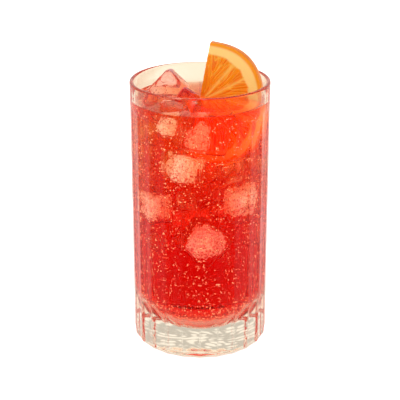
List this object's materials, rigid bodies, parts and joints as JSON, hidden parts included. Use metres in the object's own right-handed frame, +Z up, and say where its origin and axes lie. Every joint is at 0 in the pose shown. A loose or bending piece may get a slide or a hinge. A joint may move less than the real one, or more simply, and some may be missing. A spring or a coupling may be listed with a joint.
{
  "type": "red bitter and tonic highball",
  "caption": "Panelled highball glass of red bitter and tonic with ice and an upright orange slice.",
  "frame": {"origin": "centre of the glass's base, where it rests", "axes": "+Z up along the glass's axis; the orange slice's cut face looks roughly towards -Y"},
  "size_m": [0.0734, 0.0734, 0.1636],
  "materials": {
    "clear_glass": "clear pressed glass, polished, with vertical panels",
    "red_drink": "clear red fizzy drink, wet and glossy",
    "orange_flesh": "wet orange flesh, cream pith and pored orange peel",
    "clear_ice": "wet clear ice with cloudy cores"
  },
  "bodies": {
    "root": {"glass": "clear_glass", "drink": "red_drink", "orange_slice": "orange_flesh", "ice_back": "clear_ice", "ice_top": "clear_ice", "ice_middle": "clear_ice", "ice_front": "clear_ice", "ice_left": "clear_ice"}
  },
  "joints": []
}
